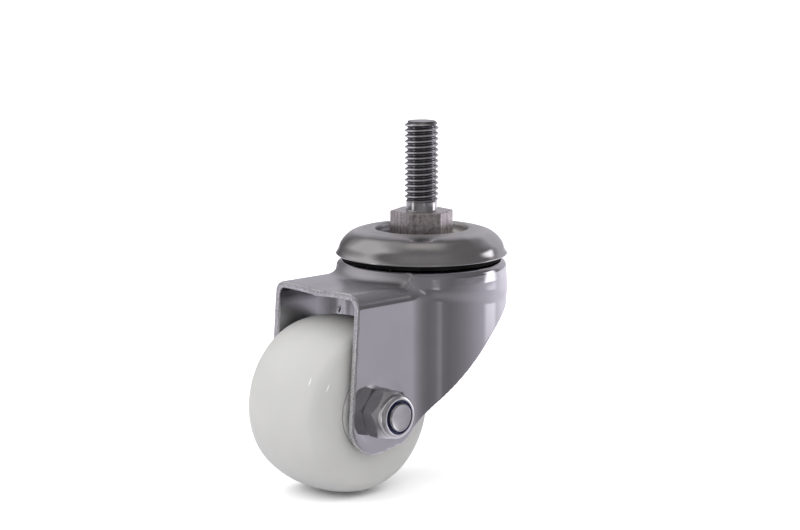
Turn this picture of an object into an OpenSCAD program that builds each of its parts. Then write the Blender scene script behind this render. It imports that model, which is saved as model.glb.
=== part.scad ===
// Threaded-stem swivel castor, millimetres.
// Z is the swivel axis and points up the stem. The origin is the middle of the seat, the top
// face of the hexagon, which pulls up against whatever the castor carries.
// The wheel trails towards -X and its axle lies along Y, with the lock nut on the -Y side.

/* [Stem] */
// Outside diameter of the stem's thread
stem_d = 10; // [8:0.5:12]
// Length of the stem above the seat
stem_len = 26; // [20:0.5:40]
// Length of the plain neck between seat and thread
neck_len = 3; // [1.5:0.5:5]
// How much thinner the neck is than the thread, in radius
neck_relief = 0.5; // [0.2:0.1:1]
// Width of the hexagon across its flats
hex_af = 16; // [14:0.5:18]
// Height of the hexagon
hex_h = 8; // [6.6:0.2:10]
// Diameter of the kingpin below the hexagon
kingpin_d = 8; // [6.5:0.5:9]
// Diameter of the riveted head at the kingpin's lower end
rivet_d = 12; // [11:0.5:13]
// Height of the riveted head
rivet_h = 1.8; // [1:0.2:2.6]

/* [Swivel cap] */
// Diameter over the lip of the pressed cap
cap_d = 49.7; // [47:0.5:54]
// Thickness of the cap's sheet
cap_t = 2; // [1.8:0.1:2.2]
// Diameter of the rim of the recess round the hexagon
recess_d = 28.4; // [26.5:0.2:30]
// How far the cap's crest stands above the recess floor
crest_h = 2.6; // [2:0.1:3.4]
// Height of the cap from its lip to its crest
cap_h = 7.2; // [7:0.1:7.8]
// Width of the open groove between lip and fork
lip_gap = 1.7; // [1.2:0.1:2.4]

/* [Ball races] */
// Diameter of the balls between cap and fork
upper_ball_d = 6; // [5.5:0.1:6.2]
// Distance in radius from the cap's lip to the upper ball circle
upper_inset = 5.65; // [5.5:0.05:5.9]
// Diameter of the balls between fork and lower race
lower_ball_d = 5; // [4:0.1:5.4]
// Radius of the lower ball circle
lower_pitch_r = 9.5; // [9:0.1:10]
// Thickness of the lower race's sheet
race_t = 2; // [1.5:0.1:2.4]
// Running clearance between the balls and their tracks
ball_gap = 0.1; // [0.08:0.01:0.14]

/* [Fork] */
// Thickness of the fork's sheet
sheet_t = 2; // [1.6:0.1:2.2]
// Distance from the swivel axis back to the axle
trail = 33; // [31:0.5:36]
// Distance from the swivel axis to the fork's front edge at the top
front_reach = 41; // [39:0.5:43]
// How far the drum's rim stands above the flat top plate
drum_rise = 3.5; // [3:0.1:4.2]
// Outside radius of the bends between top plate and legs
bend_r = 4.5; // [3.5:0.1:6]
// Radius of the hollow valleys between legs and skirt
valley_r = 5; // [3.5:0.5:7]
// Gap between the wheel and the top plate
top_gap = 7.2; // [5:0.2:9]
// Gap between the wheel's side and the leg
side_gap = 1.5; // [1.2:0.1:2]
// Diameter of the shallow round dish pressed into each leg at the axle
dish_d = 18; // [16.5:0.5:19]
// Depth of that dish
dish_depth = 0.4; // [0.2:0.1:0.6]

/* [Wheel] */
// Diameter of the wheel
wheel_d = 50; // [46:0.5:54]
// Width of the wheel
wheel_w = 28; // [26.4:0.2:30]
// How far the tread falls from its middle to its shoulders
crown_drop = 2.8; // [2:0.2:4]
// Width of the rounded shoulder between tread and side
shoulder_w = 2; // [1.4:0.1:2.6]

/* [Axle] */
// Diameter of the axle bolt
bolt_d = 8; // [7:0.5:8.5]
// Width across flats of the bolt's head and the nut
nut_af = 13; // [12.5:0.5:14]
// Height of the lock nut
nut_h = 8; // [7:0.2:9]
// Height of the bolt's head
head_h = 5.3; // [4.5:0.1:6]
// How far the bolt's end stands out of the nut
bolt_proud = 0.7; // [0.3:0.1:3]

/* [Wheel bearings] */
// Outside diameter of each ball bearing
bearing_d = 22; // [21:0.5:24]
// Width of each ball bearing
bearing_w = 7; // [6:0.5:8]
// Number of balls in each bearing
bearing_balls = 7; // [6:1:8]

/* [Hidden] */
$fn = 96;

// Radial slip of pieces that fit each other, overlap of solids that are one piece, and a length
// that reaches past everything
slip = 0.05;
overlap = 0.2;
far = 100;

// Heights of the swivel head, from the seat down. The hub runs clear of the cap, the lower balls
// sink a little into it, and the race's floor stands above the bottom of its track
hub_gap = 1.4;
lower_bite = 0.1;
race_rise = 0.9;
cap_track_depth = 0.2;
recess_z = -hex_h;
crest_z = recess_z + crest_h;
lip_z = crest_z - cap_h;
drum_z = lip_z - lip_gap;
plate_z = drum_z - drum_rise;
plate_under_z = plate_z - sheet_t;

// Radii of the swivel head. The drum's edge lies inside the cap's lip and the skirt outside it
lip_over_drum = 1.6;
skirt_over_lip = 0.3;
hole_land = 0.6;
crown_r = 3.15;
lip_r = cap_d / 2;
upper_pitch_r = lip_r - upper_inset;
drum_r = lip_r - lip_over_drum;
skirt_r = lip_r + skirt_over_lip;
upper_ball_r = upper_ball_d / 2;
upper_track_r = upper_ball_r + ball_gap;
upper_ball_z = crest_z - cap_t - cap_track_depth - upper_track_r;
lower_ball_r = lower_ball_d / 2;
lower_track_r = lower_ball_r + ball_gap;
hub_top_z = recess_z - cap_t - hub_gap;
lower_ball_z = hub_top_z - sheet_t + lower_bite - lower_ball_r;
race_floor_z = lower_ball_z - lower_track_r + race_rise;
kingpin_end_z = race_floor_z - race_t;
fork_hole_r = lower_pitch_r - lower_ball_r - hole_land;

// The wheel and its fork
wheel_r = wheel_d / 2;
leg_in = wheel_w / 2 + side_gap;
leg_out = leg_in + sheet_t;
axle_z = plate_under_z - top_gap - wheel_r;
pad_in = leg_in - dish_depth;
pad_out = leg_out - dish_depth;
bolt_r = bolt_d / 2;
bore_r = bolt_r + slip;

// A stretch of arc about (cx, cy) from angle a to angle b in n steps
function arc(cx, cy, r, a, b, n) =
    [for (i = [0 : n]) let (t = a + (b - a) * i / n) [cx + r * cos(t), cy + r * sin(t)]];

// A quadratic curve from p to r, pulled towards q, in n steps
function bend(p, q, r, n) =
    [for (i = [0 : n]) let (t = i / n) (1 - t) * (1 - t) * p + 2 * t * (1 - t) * q + t * t * r];

// Unit normal to the right of the way from a to b
function side_normal(a, b) = let (d = (b - a) / norm(b - a)) [d[1], -d[0]];

// Mitred normal of a path at point i
function mitre(p, i) =
    i == 0 ? side_normal(p[0], p[1])
    : i == len(p) - 1 ? side_normal(p[i - 1], p[i])
    : let (a = side_normal(p[i - 1], p[i]), b = side_normal(p[i], p[i + 1])) (a + b) / (1 + a * b);

function reversed(p) = [for (i = [len(p) - 1 : -1 : 0]) p[i]];

// The path moved by t to its right, which is the other face of a sheet
function other_face(p, t) = [for (i = [0 : len(p) - 1]) p[i] + t * mitre(p, i)];

// Section of a sheet whose upper face follows the path
module sheet_section(p, t) {
    polygon(concat(p, reversed(other_face(p, t))));
}

// Turns a section of (radius, distance along the axle) about the axle
module about_axle() {
    translate([-trail, 0, axle_z]) rotate([-90, 0, 0]) rotate_extrude() children();
}

// A ring about the axle between two places along Y
module axle_ring(r_out, r_in, y0, y1) {
    translate([-trail, y0, axle_z]) rotate([-90, 0, 0]) difference() {
        cylinder(r = r_out, h = y1 - y0);
        translate([0, 0, -1]) cylinder(r = r_in, h = y1 - y0 + 2);
    }
}

// Hexagon with its corners turned off by a cone at the top
module chamfered_hex(af, h, turn) {
    corner_r = af / 2 / cos(30);
    cone_h = 0.6;
    rotate(turn) intersection() {
        cylinder(r = corner_r, h = h, $fn = 6);
        union() {
            cylinder(r = corner_r + 1, h = h - cone_h);
            translate([0, 0, h - cone_h]) cylinder(r1 = corner_r, r2 = af / 2, h = cone_h);
        }
    }
}

// Stem, hexagon and kingpin, turned from one bar and riveted over at the bottom
module threaded_stem() {
    stem_r = stem_d / 2;
    chamfer = 0.9;
    hex_turn = 22.5;
    color([0.46, 0.44, 0.43]) {
        cylinder(r = stem_r - neck_relief, h = neck_len + neck_relief);
        translate([0, 0, neck_len]) cylinder(r1 = stem_r - neck_relief, r2 = stem_r, h = neck_relief);
        translate([0, 0, neck_len + neck_relief])
            cylinder(r = stem_r, h = stem_len - neck_len - neck_relief - chamfer);
        translate([0, 0, stem_len - chamfer]) cylinder(r1 = stem_r, r2 = stem_r - chamfer, h = chamfer);
        translate([0, 0, -hex_h]) rotate(hex_turn)
            cylinder(r = hex_af / 2 / cos(30), h = hex_h, $fn = 6);
        translate([0, 0, kingpin_end_z - overlap])
            cylinder(r = kingpin_d / 2, h = recess_z - kingpin_end_z + 2 * overlap);
        translate([0, 0, kingpin_end_z]) rivet_head();
    }
}

// Low dome that the kingpin's end is riveted into
module rivet_head() {
    dome_r = (rivet_d * rivet_d / 4 + rivet_h * rivet_h) / (2 * rivet_h);
    mirror([0, 0, 1]) intersection() {
        cylinder(r = rivet_d / 2, h = rivet_h);
        translate([0, 0, rivet_h - dome_r]) sphere(r = dome_r);
    }
}

// Outer wall of the cap, from below its crown to the lip, in steps in from the lip's radius
// and down from the crest
function cap_wall() = concat(
    bend([lip_r - 2.5, crest_z - 1.75], [lip_r - 1.15, crest_z - 3.6],
         [lip_r - 0.75, crest_z - 5.6], 6),
    [[lip_r - 0.45, crest_z - 6.35], [lip_r, lip_z]]);

// Upper face of the cap, from its middle hole over the recess rim to the lip
function cap_face() =
    let (lean = 65, corner = 1,
         rim = [recess_d / 2 + 0.5, crest_z - corner],
         foot_z = recess_z + corner,
         wall_run = (rim[1] - foot_z + 2 * corner * cos(lean)) / tan(lean),
         foot_x = rim[0] - 2 * corner * sin(lean) - wall_run)
    concat([[kingpin_d / 2 + slip, recess_z]],
        arc(foot_x, foot_z, corner, 270, 270 + lean, 4),
        arc(rim[0], rim[1], corner, 90 + lean, 90, 5),
        arc(lip_r - 5.35, crest_z - crown_r, crown_r, 90, 38, 7),
        cap_wall());

// Lower face of the cap, with the track for the upper balls pressed into its corner
function cap_under() = concat(
    [[kingpin_d / 2 + slip, recess_z - cap_t], [recess_d / 2 - 0.8, recess_z - cap_t],
     [recess_d / 2 + 1.9, crest_z - cap_t], [upper_pitch_r - 1.7, crest_z - cap_t]],
    arc(upper_pitch_r, upper_ball_z, upper_track_r, 80, -10, 10),
    [[lip_r - cap_t, lip_z - 1]]);

// Pressed cap, fixed to the stem
module swivel_cap() {
    color([0.62, 0.61, 0.60]) rotate_extrude() difference() {
        polygon(concat(cap_face(), reversed(cap_under())));
        translate([0, lip_z - far]) square([far, far]);
    }
}

// Dark ring that keeps dust out of the gap between cap and fork
module dust_ring() {
    ring_in = upper_pitch_r + upper_ball_r + 0.35;
    ring_out = drum_r + 0.1;
    rub_gap = 0.3;
    color([0.03, 0.03, 0.03]) translate([0, 0, drum_z + rub_gap]) difference() {
        cylinder(r = ring_out, h = lip_gap - rub_gap);
        translate([0, 0, -1]) cylinder(r = ring_in, h = lip_gap + 2);
    }
}

// A circle of separate balls about the swivel axis
module ball_circle(pitch_r, r, z) {
    spare = 0.25;
    count = floor(180 / asin((r + spare) / pitch_r));
    for (i = [0 : count - 1])
        rotate(360 * i / count) translate([pitch_r, 0, z]) sphere(r = r, $fn = 48);
}

module upper_balls() {
    color([0.75, 0.75, 0.76]) ball_circle(upper_pitch_r, upper_ball_r, upper_ball_z);
}

module lower_balls() {
    color([0.75, 0.75, 0.76]) ball_circle(lower_pitch_r, lower_ball_r, lower_ball_z);
}

// Dished washer that carries the lower balls and is held by the riveted head
module lower_race() {
    track_in = asin((lower_ball_z - race_floor_z) / lower_track_r);
    face = concat([[kingpin_d / 2 + slip, race_floor_z]],
        arc(lower_pitch_r, lower_ball_z, lower_track_r, 180 + track_in, 350, 10));
    color([0.60, 0.60, 0.61]) rotate_extrude() sheet_section(face, race_t);
}

// Upper face of the fork's crown, from the kingpin's hole down to the foot of its ball track
function crown_face() =
    let (track = [upper_pitch_r, upper_ball_z])
    concat([[fork_hole_r, hub_top_z]],
        bend([upper_pitch_r - 4.1, hub_top_z], [upper_pitch_r - 3.1, hub_top_z],
             track + upper_track_r * [cos(205), sin(205)], 4),
        arc(track[0], track[1], upper_track_r, 212, 270, 7));

// Lower face of the same sheet
function crown_under() =
    let (under_r = upper_track_r + sheet_t,
         start = 180 + asin((upper_ball_z - hub_top_z + sheet_t) / under_r))
    concat([[fork_hole_r, hub_top_z - sheet_t]],
        arc(upper_pitch_r, upper_ball_z, under_r, start, 270, 7),
        [[drum_r - sheet_t, drum_z - sheet_t]]);

// Solid of revolution under the crown's upper face, out to the drum or the skirt
module head_block(rim, foot) {
    rotate_extrude() polygon(concat([[0, plate_under_z - 1], [0, hub_top_z]], crown_face(),
        rim, [[foot, plate_under_z - 1]]));
}

// Hollow under the crown, down past the shoulder
module head_hollow(shoulder_z) {
    hollow_r = skirt_r - sheet_t;
    rotate_extrude() polygon(concat([[0, shoulder_z + 0.5], [0, hub_top_z - sheet_t]],
        crown_under(),
        [[hollow_r, drum_z - sheet_t - skirt_round], [hollow_r, shoulder_z + 0.5]]));
}

// Ring cut that gives the lower balls their track in the crown
module lower_track() {
    rotate_extrude() translate([lower_pitch_r, lower_ball_z]) circle(r = lower_track_r, $fn = 48);
}

// Below its shoulder the skirt is a little smaller and sits further back, so that it shows a
// shoulder line at the sides and hardly any at the back
skirt_c = 0.6;
skirt_step = 0.1;
skirt_round = 1.9;
shoulder_drop = 3.2;
low_skirt_r = skirt_r - skirt_c - skirt_step;

// Plan of one leg's valley: what is added between the flat leg and the round skirt, up to a
// hollow of radius h
valley_c = [skirt_c - sqrt(pow(low_skirt_r + valley_r, 2) - pow(leg_out + valley_r, 2)),
            leg_out + valley_r];
module valley_plan(h) {
    depth = 4;
    to_skirt = ([skirt_c, 0] - valley_c) / norm([skirt_c, 0] - valley_c);
    difference() {
        polygon([valley_c - [0, h], valley_c + h * to_skirt, valley_c + (h + depth) * to_skirt,
                 valley_c - [0, h + depth]]);
        translate(valley_c) circle(r = h);
    }
}

// Channel of the two legs and the top plate, half as wide as y, rounded by r, up to z
module channel(y, r, z) {
    translate([-front_reach - 10, 0, 0]) rotate([90, 0, 90]) linear_extrude(front_reach + 10) {
        for (side = [-1, 1]) translate([side * (y - r), z - r]) circle(r = r);
        translate([-y, z - r - far]) square([2 * y, far]);
        translate([r - y, z - r - 1]) square([2 * (y - r), r + 1]);
    }
}

// Round skirt below the shoulder, with the valleys at both sides
module low_skirt(r, h, top) {
    translate([0, 0, top - far]) linear_extrude(far) {
        translate([skirt_c, 0]) circle(r = r);
        for (side = [0, 1]) mirror([0, side]) valley_plan(h);
    }
}

// Side outline of the fork, in X and Z: front edge, rounded leg end, slanted rear edge. The
// toe and the heel are the circles of the leg's end, and the back ends below the top plate
toe = [-trail - 1.2, axle_z - 2.4];
toe_r = 9.5;
heel = [-trail + 6.7, axle_z - 4.6];
heel_r = 6;
back_z = plate_z - 5.2;
module side_outline() {
    front_top = [-front_reach, plate_z];
    reach = toe - front_top;
    front_turn = atan2(-reach[1], -reach[0]) + acos(toe_r / norm(reach));
    sole = heel - toe;
    sole_turn = atan2(sole[1], sole[0]) - acos((toe_r - heel_r) / norm(sole));
    heel_out = heel + heel_r * [cos(-45), sin(-45)];
    back_x = skirt_r + 1;
    back_slope = 0.4;
    climb = (back_z - heel_out[1] - back_slope * (back_x - heel_out[0])) / (1 - back_slope);
    knee = heel_out + [climb, climb];
    translate(toe) circle(r = toe_r);
    translate(heel) circle(r = heel_r);
    polygon(concat([[-front_reach, 0], front_top,
        toe + toe_r * [cos(front_turn), sin(front_turn)],
        toe + toe_r * [cos(sole_turn), sin(sole_turn)],
        heel + heel_r * [cos(sole_turn), sin(sole_turn)], heel_out],
        bend(knee - [6, 6], knee, knee + 7 * [1, back_slope], 6),
        [[back_x, back_z], [back_x, 0]]));
}

// Outer form of the fork before its hollow is taken out
module fork_outside(shoulder_z) {
    drum_rim = [[drum_r - 0.5, drum_z], [drum_r, drum_z - 0.4], [drum_r + 1.9, drum_z - 2.9]];
    drum_foot = bend([drum_r + 1.9, drum_z - 2.9], [drum_r + 2.3, plate_z],
                     [drum_r + 3.6, plate_z - 0.01], 4);
    skirt_rim = concat([[drum_r - 0.5, drum_z]],
        arc(skirt_r - skirt_round, drum_z - skirt_round - 0.05, skirt_round, 75, 0, 5));
    channel(leg_out, bend_r, plate_z);
    low_skirt(low_skirt_r, valley_r, shoulder_z + 1);
    intersection() {
        head_block(concat(drum_rim, drum_foot), drum_r + 3.6);
        front_window();
    }
    difference() {
        union() {
            head_block(skirt_rim, skirt_r);
            translate([0, 0, shoulder_z]) cylinder(r = skirt_r, h = plate_z - shoulder_z);
        }
        front_window();
    }
}

// The part of the crown that stands on the top plate and not on the skirt
module front_window() {
    crease_y = leg_out - 2.3;
    crease_x = -19;
    translate([-front_reach, -crease_y, plate_under_z - 2])
        cube([front_reach + crease_x, 2 * crease_y, 20]);
}

// Pressed fork: crown with its ball tracks, drum, top plate, two legs and a round skirt
module fork() {
    shoulder_z = plate_z - shoulder_drop;
    color([0.60, 0.59, 0.63]) difference() {
        union() {
            difference() {
                intersection() {
                    union() fork_outside(shoulder_z);
                    translate([0, leg_out + 20, 0]) rotate([90, 0, 0])
                        linear_extrude(2 * leg_out + 40) side_outline();
                }
                channel(leg_in, bend_r - sheet_t, plate_under_z);
                low_skirt(low_skirt_r - sheet_t, valley_r + sheet_t, plate_under_z);
                head_hollow(shoulder_z);
                lower_track();
                translate([0, 0, hub_top_z - 10]) cylinder(r = fork_hole_r, h = 20);
            }
            for (side = [0, 1]) mirror([0, side, 0]) pad();
        }
        axle_cuts();
    }
}

// Inner face of the dish at the axle, which stands in from the leg
module pad() {
    translate([-trail, leg_in + overlap, axle_z]) rotate([90, 0, 0])
        cylinder(r = dish_d / 2 - 1, h = dish_depth + overlap);
}

// Axle holes and the outer faces of the dishes
module axle_cuts() {
    translate([-trail, 0, axle_z]) rotate([90, 0, 0]) {
        translate([0, 0, -leg_out - 1]) cylinder(r = bore_r, h = 2 * leg_out + 2);
        for (side = [0, 1]) mirror([0, 0, side])
            translate([0, 0, pad_out]) cylinder(r = dish_d / 2, h = 5);
    }
}

// Axle bolt, with its head on the far leg
module axle_bolt() {
    end_y = -pad_out - nut_h - bolt_proud;
    chamfer = 0.45;
    color([0.66, 0.66, 0.67]) {
        translate([-trail, pad_out, axle_z]) rotate([-90, 0, 0]) chamfered_hex(nut_af, head_h, 20);
        translate([-trail, end_y + chamfer, axle_z]) rotate([-90, 0, 0])
            cylinder(r = bolt_r, h = pad_out - end_y - chamfer + overlap);
        translate([-trail, end_y, axle_z]) rotate([-90, 0, 0])
            cylinder(r1 = bolt_r - chamfer, r2 = bolt_r, h = chamfer);
    }
}

// The lock nut's plain hexagon ends below its round collar, which holds the insert
collar_h = 2.6;
insert_wall = 0.85;
nut_hex_h = nut_h - collar_h;
insert_r = bolt_r + insert_wall;

// Steel lock nut: hexagon, round collar and the pocket for its insert
module axle_nut() {
    collar_r = nut_af / 2 - 0.25;
    collar_round = 1.6;
    collar_foot = 1;
    color([0.64, 0.64, 0.65]) translate([-trail, -pad_out, axle_z]) rotate([90, 0, 0]) difference() {
        union() {
            chamfered_hex(nut_af, nut_hex_h + 2 * overlap, 50);
            rotate_extrude() polygon(concat([[0, collar_foot], [collar_r, collar_foot]],
                arc(collar_r - collar_round, nut_h - collar_round, collar_round, 0, 80, 6),
                [[0, nut_h]]));
        }
        translate([0, 0, -1]) cylinder(r = bore_r, h = nut_h + 2);
        translate([0, 0, nut_hex_h]) cylinder(r = insert_r + slip, h = nut_h);
    }
}

// Nylon ring that locks the nut, a little below the collar's end
module nut_insert() {
    recess = 0.35;
    color([0.05, 0.08, 0.30])
        axle_ring(insert_r, bore_r, -pad_out - nut_h + recess, -pad_out - nut_hex_h);
}

// Sizes shared by both wheel bearings: the balls and rings take their share of the ring's width
ring_span = bearing_d / 2 - bore_r;
race_r = (bearing_d / 2 + bore_r) / 2;
bearing_ball_r = 0.285 * ring_span;
inner_ring_r = bore_r + 0.29 * ring_span;
outer_ring_r = bearing_d / 2 - 0.25 * ring_span;
bearing_out = wheel_w / 2;
bearing_in = bearing_out - bearing_w;
bearing_y = bearing_out - bearing_w / 2;
sleeve_r = inner_ring_r - 0.3;

// Sleeve that spaces the inner rings of the two bearings
module centre_sleeve() {
    color([0.58, 0.58, 0.60]) axle_ring(sleeve_r, bore_r, -bearing_in, bearing_in);
}

// Spacer between a leg and the inner ring of its bearing
module spacer() {
    axle_ring(sleeve_r, bore_r, bearing_out, pad_in);
}

// Inner ring of one bearing
module inner_ring() {
    about_axle() difference() {
        translate([bore_r, bearing_in]) square([inner_ring_r - bore_r, bearing_w]);
        translate([race_r, bearing_y]) circle(r = bearing_ball_r + ball_gap, $fn = 48);
    }
}

// Outer ring of one bearing
module outer_ring() {
    about_axle() difference() {
        translate([outer_ring_r, bearing_in]) square([bearing_d / 2 - outer_ring_r, bearing_w]);
        translate([race_r, bearing_y]) circle(r = bearing_ball_r + ball_gap, $fn = 48);
    }
}

// Balls of one bearing
module ball_row() {
    for (i = [0 : bearing_balls - 1])
        translate([-trail, bearing_y, axle_z]) rotate([0, 360 * i / bearing_balls, 0])
            translate([race_r, 0, 0]) sphere(r = bearing_ball_r, $fn = 32);
}

// Ring with a round pocket for each ball of one bearing
module ball_cage() {
    wall = 1;
    half_w = bearing_ball_r + 0.45;
    difference() {
        axle_ring(race_r + wall / 2, race_r - wall / 2, bearing_y - half_w, bearing_y + half_w);
        for (i = [0 : bearing_balls - 1])
            translate([-trail, bearing_y, axle_z]) rotate([0, 360 * i / bearing_balls, 0])
                translate([race_r - wall, 0, 0]) rotate([0, 90, 0])
                    cylinder(r = bearing_ball_r + ball_gap, h = 2 * wall);
    }
}

// The two thin covers of one bearing, held in its outer ring
module shields() {
    shield_t = 0.3;
    inset = 0.3;
    rim_gap = 0.15;
    for (edge = [bearing_in + inset, bearing_out - inset - shield_t])
        axle_ring(outer_ring_r, inner_ring_r + rim_gap, edge, edge + shield_t);
}

// Colour of polished bearing steel
module bearing_steel() {
    color([0.72, 0.72, 0.73]) children();
}

module right_spacer() {
    color([0.58, 0.58, 0.60]) mirror([0, 1, 0]) spacer();
}

module left_spacer() {
    color([0.58, 0.58, 0.60]) spacer();
}

module right_inner_ring() {
    bearing_steel() mirror([0, 1, 0]) inner_ring();
}

module left_inner_ring() {
    bearing_steel() inner_ring();
}

module right_outer_ring() {
    bearing_steel() mirror([0, 1, 0]) outer_ring();
}

module left_outer_ring() {
    bearing_steel() outer_ring();
}

module right_bearing_balls() {
    bearing_steel() mirror([0, 1, 0]) ball_row();
}

module left_bearing_balls() {
    bearing_steel() ball_row();
}

module right_ball_cage() {
    color([0.55, 0.50, 0.35]) mirror([0, 1, 0]) ball_cage();
}

module left_ball_cage() {
    color([0.55, 0.50, 0.35]) ball_cage();
}

module right_shields() {
    bearing_steel() mirror([0, 1, 0]) shields();
}

module left_shields() {
    bearing_steel() shields();
}

// Half of the wheel's outline, from the middle of the tread to the edge of its side
tread_power = 2.4;
function tread_r(y) = wheel_r - crown_drop * pow(y / (wheel_w / 2), tread_power);
function tread_half() =
    let (half_w = wheel_w / 2,
         edge = half_w - shoulder_w,
         slope = crown_drop * tread_power / half_w * pow(edge / half_w, tread_power - 1),
         turn = atan(slope),
         round_r = shoulder_w / (1 - sin(turn)))
    concat([for (i = [0 : 14]) [tread_r(edge * i / 14), edge * i / 14]],
        arc(tread_r(edge) - round_r * cos(turn), half_w - round_r, round_r, turn + 10, 90, 5));

// Solid nylon wheel with a bearing seat at each side of its middle web
module wheel() {
    half = tread_half();
    side_w = wheel_w / 2;
    seat_r = bearing_d / 2 + slip;
    web_r = sleeve_r + 1;
    mouth = 0.4;
    seat = [[seat_r + mouth, side_w], [seat_r, side_w - mouth], [seat_r, bearing_in],
            [web_r, bearing_in]];
    inside_out = [for (p = seat) [p[0], -p[1]]];
    color([0.88, 0.88, 0.85]) about_axle()
        polygon(concat(half, seat, reversed(inside_out),
            [for (i = [len(half) - 1 : -1 : 1]) [half[i][0], -half[i][1]]]));
}

threaded_stem();
swivel_cap();
dust_ring();
upper_balls();
lower_balls();
lower_race();
fork();
axle_bolt();
axle_nut();
nut_insert();
centre_sleeve();
right_spacer();
left_spacer();
right_inner_ring();
left_inner_ring();
right_outer_ring();
left_outer_ring();
right_bearing_balls();
left_bearing_balls();
right_ball_cage();
left_ball_cage();
right_shields();
left_shields();
wheel();
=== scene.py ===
# The castor's looks, in metres, in the same frame as the solids.
# Z is the swivel axis, the origin is the middle of the seat, the wheel trails to -X.
import math

import bpy
import numpy as np
from mathutils import Matrix, Vector


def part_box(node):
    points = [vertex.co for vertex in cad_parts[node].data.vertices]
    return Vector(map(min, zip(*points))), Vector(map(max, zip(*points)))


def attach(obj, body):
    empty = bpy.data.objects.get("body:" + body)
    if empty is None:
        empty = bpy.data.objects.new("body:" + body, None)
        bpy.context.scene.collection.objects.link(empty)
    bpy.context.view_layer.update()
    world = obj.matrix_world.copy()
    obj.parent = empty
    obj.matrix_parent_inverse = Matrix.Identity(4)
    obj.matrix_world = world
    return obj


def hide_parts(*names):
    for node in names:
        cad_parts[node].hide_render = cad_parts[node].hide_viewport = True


MM = 0.001
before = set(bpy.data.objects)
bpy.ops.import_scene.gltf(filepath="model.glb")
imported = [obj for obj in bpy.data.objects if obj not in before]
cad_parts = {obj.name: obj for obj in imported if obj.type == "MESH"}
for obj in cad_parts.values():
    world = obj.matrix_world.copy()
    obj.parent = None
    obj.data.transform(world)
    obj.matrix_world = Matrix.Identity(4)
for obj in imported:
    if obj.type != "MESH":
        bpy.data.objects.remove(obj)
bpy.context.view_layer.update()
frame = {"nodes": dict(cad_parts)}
nodes = frame["nodes"]

# Places that the pieces share, in millimetres, read from the solids' own boxes
wheel_low, wheel_high = (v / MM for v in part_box("wheel"))
bolt_low, bolt_high = (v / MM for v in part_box("axle_bolt"))
FLOOR_Z = wheel_low.z
AXLE_X = (wheel_low.x + wheel_high.x) / 2
AXLE_Z = (wheel_low.z + wheel_high.z) / 2

# The camera stands ahead of the wheel on the nut's side. ACROSS, UP and BACK are the picture's own
# directions: to its right, to its top, and out of it towards the camera. FRONT is BACK laid level.
AZIMUTH = math.radians(-44.0)
ELEVATION = math.radians(9.79)
ACROSS = np.array((math.cos(AZIMUTH), math.sin(AZIMUTH), 0.0))
FRONT = np.array((math.sin(AZIMUTH), -math.cos(AZIMUTH), 0.0))
BACK = FRONT * math.cos(ELEVATION) + np.array((0.0, 0.0, math.sin(ELEVATION)))
UP = np.cross(BACK, ACROSS)


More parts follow.
